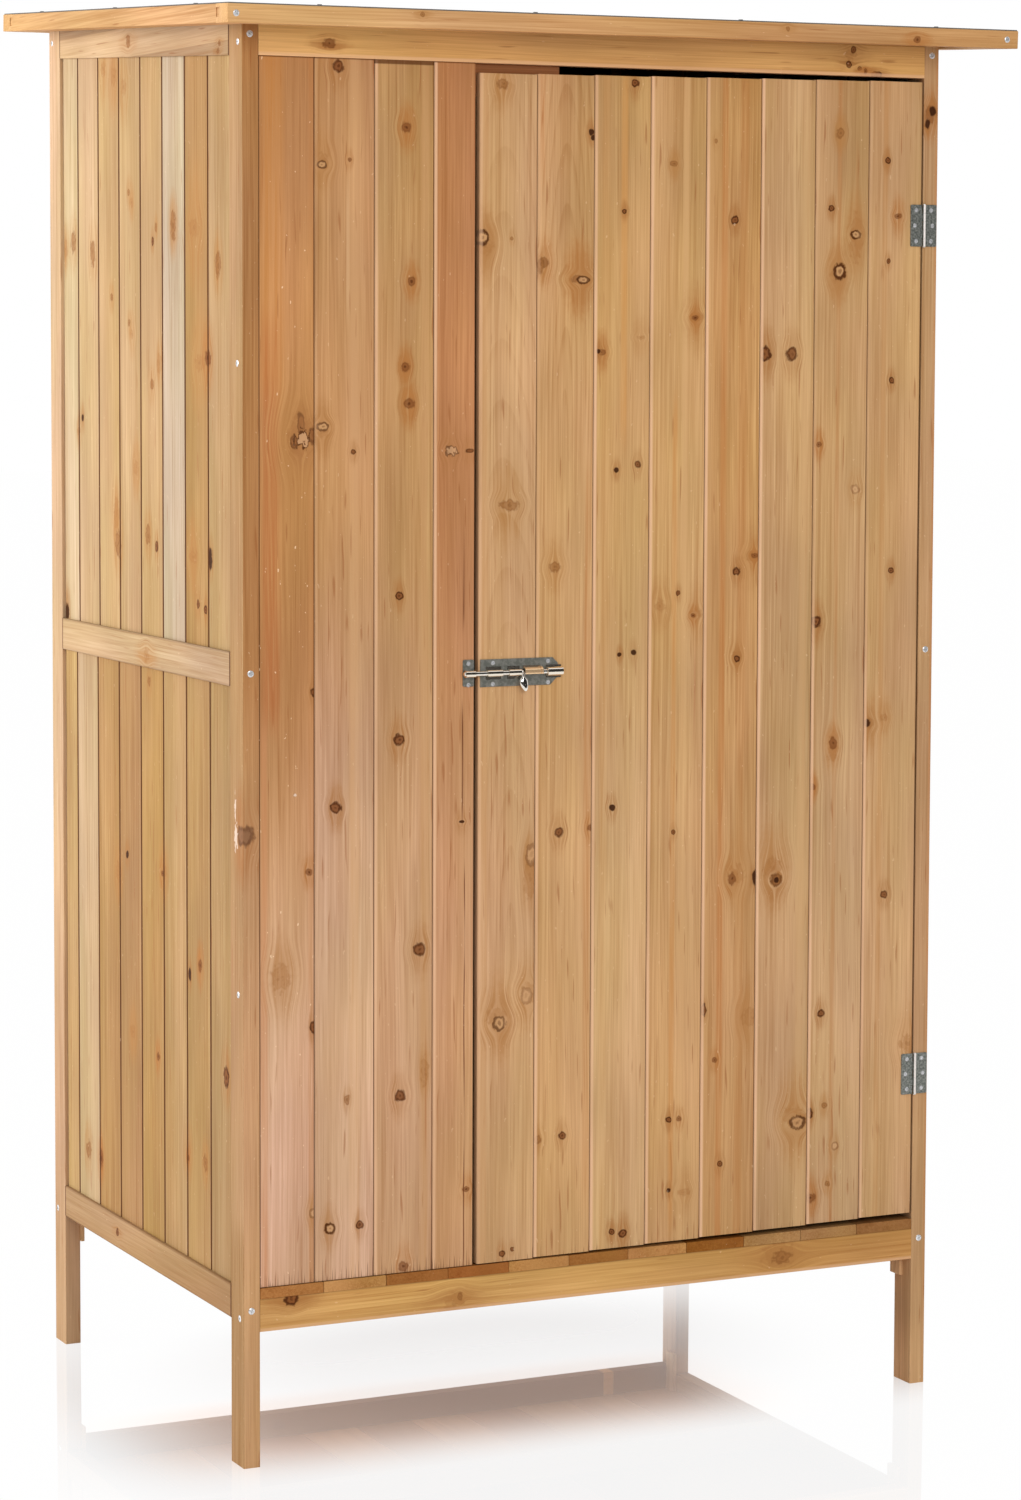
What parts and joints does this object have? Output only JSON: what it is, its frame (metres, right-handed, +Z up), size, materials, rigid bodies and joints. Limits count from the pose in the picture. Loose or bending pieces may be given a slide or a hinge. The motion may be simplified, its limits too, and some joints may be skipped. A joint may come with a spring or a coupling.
{
  "type": "garden storage cabinet",
  "caption": "Tall wooden garden storage cabinet on legs, board-clad, with a fixed front panel, one hinged door with a sliding bolt and a felted roof that falls to the front.",
  "frame": {"origin": "on the floor under the middle of the roof's outline", "axes": "+Z up, -Y out of the front with the door, +X to the right when facing the front"},
  "size_m": [1.0122, 0.772, 1.6921],
  "materials": {
    "bolt_chrome": "bright plated",
    "floor_boards": "fir boards, satin",
    "frame_timber": "honey stained fir, semi-gloss",
    "front_boards": "honey stained fir, semi-gloss, knotty",
    "hinge_zinc": "zinc plated, satin",
    "mineral_felt": "fine mineral grit on bitumen, matt",
    "nail_steel": "galvanised",
    "roof_boards": "fir boards, satin",
    "roof_rails": "honey stained fir, semi-gloss",
    "screw_zinc": "zinc plated",
    "wall_boards": "honey stained fir, semi-gloss"
  },
  "bodies": {
    "cabinet": {"back_battens": "frame_timber", "back_boards": "wall_boards", "back_bottom_rail": "frame_timber", "back_top_rail": "frame_timber", "bolt_keeper": "bolt_chrome", "corner_plates": "frame_timber", "door_stop_batten": "frame_timber", "felt_nails": "nail_steel", "fixed_panel_battens": "frame_timber", "fixed_panel_board_1": "front_boards", "fixed_panel_board_2": "front_boards", "fixed_panel_board_3": "front_boards", "fixed_panel_board_4": "front_boards", "floor_bearer": "frame_timber", "floor_boards": "floor_boards", "frame_hardware_screws": "screw_zinc", "frame_screws": "screw_zinc", "front_bottom_rail": "frame_timber", "front_top_rail": "frame_timber", "hinge_pins": "hinge_zinc", "left_bottom_rail": "frame_timber", "left_lower_boards": "wall_boards", "left_middle_rail": "frame_timber", "left_top_rail": "frame_timber", "left_upper_boards": "wall_boards", "lower_hinge_frame_leaf": "hinge_zinc", "post_back_left": "frame_timber", "post_back_right": "frame_timber", "post_front_left": "frame_timber", "post_front_right": "frame_timber", "right_bottom_rail": "frame_timber", "right_lower_boards": "wall_boards", "right_middle_rail": "frame_timber", "right_top_rail": "frame_timber", "right_upper_boards": "wall_boards", "roof_back_rail": "roof_rails", "roof_boards": "roof_boards", "roof_felt": "mineral_felt", "roof_front_rail": "roof_rails", "roof_left_rail": "roof_rails", "roof_right_rail": "roof_rails", "roof_screws": "screw_zinc", "upper_hinge_frame_leaf": "hinge_zinc"},
    "door": {"door_board_1": "front_boards", "door_board_2": "front_boards", "door_board_3": "front_boards", "door_board_4": "front_boards", "door_board_5": "front_boards", "door_board_6": "front_boards", "door_board_7": "front_boards", "door_board_8": "front_boards", "door_battens": "frame_timber", "upper_hinge_door_leaf": "hinge_zinc", "lower_hinge_door_leaf": "hinge_zinc", "bolt_plate": "bolt_chrome", "door_screws": "screw_zinc"},
    "bolt": {"bolt_rod": "bolt_chrome"},
    "bolt_handle": {"bolt_handle": "bolt_chrome"}
  },
  "joints": [
    {"name": "door_hinge", "type": "hinge", "parent": "cabinet", "child": "door", "pos_m": [0.41666, -0.32272, 0.90275], "axis": [0, 0, 1], "range_deg": [0, 180]},
    {"name": "bolt_slide", "type": "slide", "parent": "door", "child": "bolt", "axis": [1, 0, 0], "range_m": [0, 0.028]},
    {"name": "bolt_handle_turn", "type": "hinge", "parent": "bolt", "child": "bolt_handle", "pos_m": [-0.11884, -0.32492, 0.8979], "axis": [-1, 0, 0], "range_deg": [0, 75]}
  ]
}
